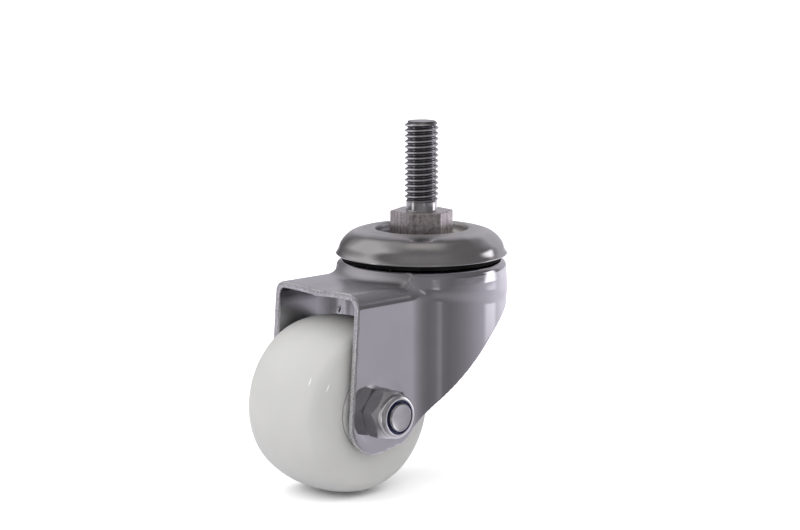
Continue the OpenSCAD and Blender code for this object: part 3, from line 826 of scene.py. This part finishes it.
# The stem: thread, neck, hexagon and kingpin
THREAD_R = 5.0
THREAD_DEPTH = 0.92
PITCH = 1.6
CREST_SHARE = 0.10
FLANK_SHARE = 0.74
ROOT_ROUND = 0.06
THREAD_LOW = 2.55
THREAD_FADE = 1.0
THREAD_LEAST_R = 3.6
STEM_TOP = 26.0
CHAMFER = 0.9
CHAMFER_R = THREAD_R - 0.15
TIP_R = CHAMFER_R - CHAMFER
NECK_R = 4.5
NECK_FLARE = 0.6
NECK_ROUND = 0.35
HEX_FLATS = 16.0
HEX_TURN = 22.5
HEX_BEVEL = 0.5
EASED = 0.12
KINGPIN_R = 4.0
KINGPIN_TOP = -8.2
KINGPIN_FOOT = -19.0
RIVET_R = 6.0
RIVET_TOP = -19.4
RIVET_SIDE = -19.75
RIVET_DOME = (0, -11.1, 10.1)


def thread_radius(phase):
    """Radius of the thread at a phase of its pitch: flat crest, straight flanks, rounded root."""
    off = np.abs((phase % 1.0) - 0.5) * 2
    rise = np.clip((off - CREST_SHARE) / FLANK_SHARE, 0, 1)
    rounded_root = rise + ROOT_ROUND * np.sin(math.pi * 2 * rise) * (rise > 0.5)
    return THREAD_R - THREAD_DEPTH * np.clip(rounded_root, 0, 1)


def threaded_rod():
    """A helical grid: rows along the thread, each of them once round and one pitch up."""
    per = 14
    around = 96
    rows = int((STEM_TOP - THREAD_LOW) / PITCH * per) + 2 * per
    turn = np.arange(around + 1) / around
    k = np.arange(rows + 1)[:, None] - per
    z = THREAD_LOW + k * PITCH / per + PITCH * turn[None, :]
    fade = np.clip((z - THREAD_LOW) / THREAD_FADE, 0, 1)
    r = NECK_R + (thread_radius(np.broadcast_to(k / per, z.shape)) - NECK_R) * fade
    r = np.minimum(r, CHAMFER_R - (z - STEM_TOP + CHAMFER))
    z = np.clip(z, THREAD_LOW, STEM_TOP)
    r = np.maximum(np.where(z >= STEM_TOP, TIP_R, r), THREAD_LEAST_R)
    a = turn[None, :] * 2 * math.pi
    points = np.stack([r * np.cos(a), r * np.sin(a), z], -1).reshape(-1, 3)
    w = around + 1
    faces = [[i * w + j, i * w + j + 1, (i + 1) * w + j + 1, (i + 1) * w + j]
             for i in range(rows) for j in range(around)]
    return points, faces


def hexagon(across_flats, z0, z1, turn, bevel):
    """A hexagonal prism with its long edges slightly rounded and its upper edge bevelled."""
    flat = across_flats / 2
    corner = flat / math.cos(math.pi / 6)
    spread = math.radians(60) * bevel / flat
    ring = []
    for i in range(6):
        a = math.radians(turn + 60 * i)
        for side in (-1, 0, 1):
            b = a + side * spread
            r = flat / math.cos(spread - math.pi / 6) if side else corner - bevel * EASED
            ring.append((r * math.cos(b), r * math.sin(b)))
    ring = np.array(ring)
    n = len(ring)
    levels = [(z0, 1.0), (z1 - bevel * 0.5, 1.0), (z1, 1.0 - bevel / across_flats)]
    points = np.vstack([np.column_stack([ring * s, np.full(n, z)]) for z, s in levels])
    last = len(levels) - 1
    faces = [[k * n + i, k * n + (i + 1) % n, (k + 1) * n + (i + 1) % n, (k + 1) * n + i]
             for k in range(last) for i in range(n)]
    faces.append(list(range(n))[::-1])
    faces.append([last * n + i for i in range(n)])
    return points, faces


def build_stem():
    top = lathe([(0, STEM_TOP), (TIP_R, STEM_TOP)], 96, close=False)
    hollow = turn_points(NECK_R + NECK_ROUND, NECK_ROUND, NECK_ROUND, 270, 180, 4)[1:]
    neck = lathe([(NECK_R + NECK_FLARE, 0.0)] + hollow + [(NECK_R, THREAD_LOW)], 96, close=False)
    rivet = [(RIVET_R, RIVET_TOP), (RIVET_R, RIVET_SIDE)] + turn_points(*RIVET_DOME, -36, -90, 10)
    kingpin = lathe([(KINGPIN_R, KINGPIN_TOP), (KINGPIN_R, KINGPIN_FOOT)] + rivet, 72, close=False)
    body = hexagon(HEX_FLATS, HEX_FOOT, 0.0, HEX_TURN, HEX_BEVEL)
    points, faces = joined(threaded_rod(), top, neck, kingpin, body)
    piece("stem_and_hexagon", points, faces, STEM_STEEL, "head", ["threaded_stem"], sharp=35)


# The wheel, as one half of its profile. The tread falls away to its sides and ends in a round
# shoulder, and each side has a pocket for its bearing.
HALF_W = wheel_high.y
WHEEL_R = 25.0
TREAD_FALL = 2.8
TREAD_POWER = 2.4
TREAD_SHOULDER = 2.0
SIDE_RINGS = (16.0, 12.4)
POCKET_R = 11.05
POCKET_CHAMFER = 0.4
POCKET_END = 6.8
HUB_BORE_R = 6.75


def build_wheel():
    edge = HALF_W - TREAD_SHOULDER
    steepness = TREAD_FALL * TREAD_POWER / HALF_W * (edge / HALF_W) ** (TREAD_POWER - 1)
    slope = math.atan(steepness)
    round_r = TREAD_SHOULDER / (1 - math.sin(slope))
    half = [(WHEEL_R - TREAD_FALL * (y / HALF_W) ** TREAD_POWER, y) for y in np.linspace(0, edge, 26)]
    centre_r = half[-1][0] - round_r * math.cos(slope)
    half += turn_points(centre_r, HALF_W - round_r, round_r, math.degrees(slope) + 4, 90, 9)
    half += [(r, HALF_W) for r in SIDE_RINGS]
    half += [(POCKET_R + POCKET_CHAMFER, HALF_W), (POCKET_R, HALF_W - POCKET_CHAMFER)]
    half += [(POCKET_R, POCKET_END), (HUB_BORE_R, POCKET_END)]
    profile = [(r, -y) for r, y in half[::-1]] + half[1:]
    points, faces = lathe(profile, 192)
    piece("nylon_wheel", about_axle(points), faces, NYLON.mat, "wheel", ["wheel"], sharp=40)


# The lock nut, its insert and the bolt. Ways out are along the axle to the nut's side, from the
# castor's middle for the bolt and from the nut's seat for the nut and its insert.
FLATS = 13.0
ROUND_TURNS = 144
SEAT_Y = 17.1
BORE_R = 4.05
BOLT_R = 4.0
NUT_CORNER = math.radians(50.0)
NUT_HEX_H = 5.4
NUT_FOOT_R = 5.9
NUT_FOOT_SLOPE = 0.7
NUT_TOP_R = 6.1
NUT_TOP_SLOPE = 0.85
NUT_H = 7.98
COLLAR_R = 6.2
COLLAR_ROUND = 1.05
COLLAR_LIP = 7.7
INSERT_R = 4.86
INSERT_FLOOR = 5.5
INSERT_GAP = 0.02
INSERT_TOP = [(INSERT_R, 7.55), (4.62, 7.62), (4.2, 7.45), (BOLT_R, 7.3)]
HEAD_CORNER = math.radians(40.0)
HEAD_TOP = bolt_high.y
HEAD_FACE_R = 6.0
HEAD_SLOPE = 0.55
FLANGE_R = 6.2
FLANGE_H = 0.25
BOLT_END = -bolt_low.y


def hex_radius(corner):
    """Distance from the axis to a hexagon's sides, turn by turn, with one corner at a given turn."""
    turn = np.arange(ROUND_TURNS) * 2 * math.pi / ROUND_TURNS - corner
    return FLATS / 2 / np.cos(turn % (math.pi / 3) - math.pi / 6)


def cut_back(r, start, slope):
    """How far a cone that begins at radius start has cut a corner back."""
    return np.maximum(r - start, 0) * slope


def ringed(rings, closed):
    """Rings of (radius, way out), joined up. Closed joins last to first, or else each end gets a
    flat face. A radius or a way out may differ from turn to turn."""
    n = ROUND_TURNS
    turn = np.arange(n) * 2 * math.pi / n
    rows = []
    for r, out in rings:
        r, out = np.broadcast_to(r, n), np.broadcast_to(out, n)
        rows.append(np.stack([AXLE_X + r * np.cos(turn), -out, AXLE_Z + r * np.sin(turn)], -1))
    m = len(rows)
    faces = []
    for i in range(m if closed else m - 1):
        j = (i + 1) % m
        faces += [[i * n + k, i * n + (k + 1) % n, j * n + (k + 1) % n, j * n + k]
                  for k in range(n)]
    if not closed:
        faces.append(list(range(n))[::-1])
        faces.append([(m - 1) * n + k for k in range(n)])
    return np.vstack(rows), faces


def on_seat(rings):
    """Rings measured from the nut's seat, as ways out from the castor's middle."""
    return [(r, SEAT_Y + out) for r, out in rings]


def build_nut():
    sides = hex_radius(NUT_CORNER)
    rings = [(BORE_R, 0.0), (NUT_FOOT_R, 0.0),
             (sides, cut_back(sides, NUT_FOOT_R, NUT_FOOT_SLOPE)),
             (sides, NUT_HEX_H - cut_back(sides, NUT_TOP_R, NUT_TOP_SLOPE)),
             (NUT_TOP_R, NUT_HEX_H + 0.02), (NUT_TOP_R - 0.15, NUT_HEX_H + 0.18),
             (COLLAR_R - 0.05, NUT_HEX_H + 0.4)]
    rings += turn_points(COLLAR_R - COLLAR_ROUND, NUT_H - COLLAR_ROUND, COLLAR_ROUND, 0, 104, 12)
    rings += [(INSERT_R + INSERT_GAP, COLLAR_LIP), (INSERT_R + INSERT_GAP, INSERT_FLOOR),
              (BORE_R, INSERT_FLOOR)]
    points, faces = ringed(on_seat(rings), True)
    piece("lock_nut", points, faces, NUT_STEEL, "fork", ["axle_nut"], sharp=28)


def build_insert():
    foot = INSERT_FLOOR + 0.1
    rings = [(BOLT_R, foot), (INSERT_R, foot)] + INSERT_TOP
    points, faces = ringed(on_seat(rings), True)
    piece("nut_ring", points, faces, BLUE.mat, "fork", ["nut_insert"], sharp=60)


def build_bolt():
    sides = hex_radius(HEAD_CORNER)
    rings = [(HEAD_FACE_R - 0.4, -HEAD_TOP), (HEAD_FACE_R, 0.02 - HEAD_TOP),
             (sides, 0.02 - HEAD_TOP + cut_back(sides, HEAD_FACE_R, HEAD_SLOPE)),
             (sides, -SEAT_Y - FLANGE_H), (FLANGE_R + 0.1, -SEAT_Y - FLANGE_H),
             (FLANGE_R, -SEAT_Y), (BOLT_R, -SEAT_Y)]
    rings += [(BOLT_R, BOLT_END - 0.5), (BOLT_R - 0.12, BOLT_END - 0.2),
              (BOLT_R - 0.4, BOLT_END), (BOLT_R - 0.75, BOLT_END - 0.06)]
    points, faces = ringed(rings, False)
    piece("bolt_and_head", points, faces, BRIGHT, "fork", ["axle_bolt"], sharp=28)


build_fork()
build_cap()
build_stem()
build_wheel()
build_nut()
build_insert()
build_bolt()


# The camera
DISTANCE = 657.7 * MM
TARGET_ACROSS = -6.25 * MM
TARGET_Z = -16.3 * MM
LENS = 101.4


def place_camera():
    target = ACROSS * TARGET_ACROSS + np.array((0, 0, TARGET_Z))
    data = bpy.data.cameras.new("camera")
    data.lens = LENS
    data.sensor_width = 36.0
    data.clip_start = 0.01
    data.clip_end = 50.0
    camera = bpy.data.objects.new("camera", data)
    bpy.context.scene.collection.objects.link(camera)
    eye = target + BACK * DISTANCE
    rows = [(ACROSS[i], UP[i], BACK[i], eye[i]) for i in range(3)]
    camera.matrix_world = Matrix((*rows, (0, 0, 0, 1)))
    bpy.context.scene.camera = camera


place_camera()


# The floor
FLOOR_HALF = 12.0


def place_floor():
    f = FLOOR_HALF
    z = FLOOR_Z * MM
    mesh = bpy.data.meshes.new("floor")
    mesh.from_pydata([(-f, -f, z), (f, -f, z), (f, f, z), (-f, f, z)], [], [(0, 1, 2, 3)])
    floor = bpy.data.objects.new("floor", mesh)
    bpy.context.scene.collection.objects.link(floor)
    floor.visible_glossy = False
    s = Shader("pale_floor")
    s.color(s.tones(s.noise(s.coords, 3.0), (0.955, 0.955, 0.955), (0.965, 0.965, 0.965)))
    s.set(Roughness=0.9, Specular_IOR_Level=0.0)
    mesh.materials.append(s.mat)


place_floor()

# The studio round the castor. Polished metal mirrors it, so it is drawn as a dim room with lit
# panels, each at a turn from the camera's side (to the right is positive) and a height in degrees.
# Matt surfaces get a soft white light that is strongest from above, and the camera sees white.
world = bpy.data.worlds.new("studio")
bpy.context.scene.world = world
world.use_nodes = True
tree = world.node_tree


def feed(value, socket):
    """A socket is linked and a plain value is written in."""
    if isinstance(value, bpy.types.NodeSocket):
        tree.links.new(value, socket)
    else:
        socket.default_value = value


def world_node(kind, *inputs, **values):
    """A world node; inputs are sockets or plain values, in order."""
    n = tree.nodes.new("ShaderNode" + kind)
    for key, value in values.items():
        setattr(n, key, value)
    for value, socket in zip(inputs, n.inputs):
        feed(value, socket)
    return n


way = world_node("TexCoord").outputs["Generated"]


def dot(axis):
    return world_node("VectorMath", way, tuple(axis), operation="DOT_PRODUCT").outputs["Value"]


def step_between(value, low, high, out_low=0.0, out_high=1.0, kind="SMOOTHSTEP"):
    n = world_node("MapRange", value, low, high, out_low, out_high, interpolation_type=kind)
    return n.outputs["Result"]


def times(a, b):
    return world_node("Math", a, b, operation="MULTIPLY").outputs["Value"]


def size_of(a):
    return world_node("Math", a, operation="ABSOLUTE").outputs["Value"]


def plus(a, b):
    return world_node("VectorMath", a, b, operation="ADD").outputs["Vector"]


def tinted(fac, color):
    n = world_node("VectorMath", color, operation="SCALE")
    tree.links.new(fac, n.inputs["Scale"])
    return n.outputs["Vector"]


def pick(fac, a, b):
    """Colour a where the factor is 0 and colour b where it is 1."""
    n = world_node("Mix", fac, data_type="RGBA")
    feed(a, n.inputs[6])
    feed(b, n.inputs[7])
    return n.outputs[2]


def studio_way(turn, height):
    t, h = math.radians(turn), math.radians(height)
    level = FRONT * math.cos(t) + ACROSS * math.sin(t)
    return tuple(math.cos(h) * level + np.array((0, 0, math.sin(h))))


def panel(turn, height, half_width, half_height, soft, color):
    """A soft-edged rectangle of light, its sizes in degrees."""
    centre = np.array(studio_way(turn, height))
    side = np.cross((0, 0, 1), centre)
    side = side / np.linalg.norm(side)
    s, w, h = (math.radians(v) for v in (soft, half_width, half_height))
    wide = step_between(size_of(dot(side)), w - s, w + s, 1.0, 0.0)
    tall = step_between(size_of(dot(np.cross(centre, side))), h - s, h + s, 1.0, 0.0)
    ahead = step_between(dot(centre), 0.0, 0.2)
    return tinted(times(times(wide, tall), ahead), color)


# Each panel: turn, height, half width, half height and softness in degrees, then its colour
PANELS = {
    "left box": (-105, 40, 27, 24, 12, (0.50, 0.49, 0.50)),
    "right box": (106, 5, 11, 14, 5, (1.7, 1.68, 1.76)),
    "back wall": (161, 14, 31, 24, 12, (0.42, 0.41, 0.45)),
    "overhead": (0, 89, 16, 16, 12, (0.30, 0.29, 0.28)),
    "front glow": (0, 10, 34, 34, 20, (0.09, 0.088, 0.09)),
    "front card": (19, -12, 5, 10, 3, (0.26, 0.26, 0.27)),
    "left card": (-68, -8, 7, 13, 4, (1.1, 1.08, 1.1)),
}
ROOM_TONE = (0.15, 0.145, 0.15)
FLOOR_TINT = (0.98, 0.95, 1.06)
FLOOR_GLOW = 0.62
CEILING_LOW = 1.12
CEILING_HIGH = 1.90
WHITE = (1.0, 1.0, 1.0, 1.0)


def mirrored_room():
    """Below the horizon the mirrored floor grows paler from the camera's side to the back."""
    below = step_between(dot((0, 0, 1)), -0.02, -0.10)
    glow = times(below, step_between(dot(FRONT), 0.80, -0.42, 0.0, FLOOR_GLOW, "LINEAR"))
    room = plus(tinted(glow, FLOOR_TINT), ROOM_TONE)
    for values in PANELS.values():
        room = plus(room, panel(*values))
    return room


room = mirrored_room()
path = world_node("LightPath")
ceiling = tinted(step_between(dot((0, 0, 1)), 0.1, 0.9, CEILING_LOW, CEILING_HIGH), WHITE[:3])
seen = pick(path.outputs["Is Camera Ray"], ceiling, WHITE)
sky = tree.nodes["Background"]
tree.links.new(pick(path.outputs["Is Glossy Ray"], seen, room), sky.inputs["Color"])
sky.inputs["Strength"].default_value = 1.0

# One soft light for matt surfaces, from the left. It looks at the castor's middle.
MIDDLE = Vector((-0.015, 0, -0.03))
LIGHT_TURN = -80
LIGHT_HEIGHT = 30
LIGHT_DISTANCE = 0.9
LIGHT_SIZE = 0.6
LIGHT_POWER = 2.66


def place_light():
    data = bpy.data.lights.new("left_light", "AREA")
    data.shape = "RECTANGLE"
    data.size = LIGHT_SIZE
    data.size_y = LIGHT_SIZE
    data.energy = LIGHT_POWER
    light = bpy.data.objects.new("left_light", data)
    bpy.context.scene.collection.objects.link(light)
    away = Vector(studio_way(LIGHT_TURN, LIGHT_HEIGHT))
    light.location = MIDDLE + away * LIGHT_DISTANCE
    light.rotation_euler = away.to_track_quat("Z", "Y").to_euler()
    light.visible_glossy = False


place_light()

bpy.context.scene.view_settings.view_transform = "Standard"
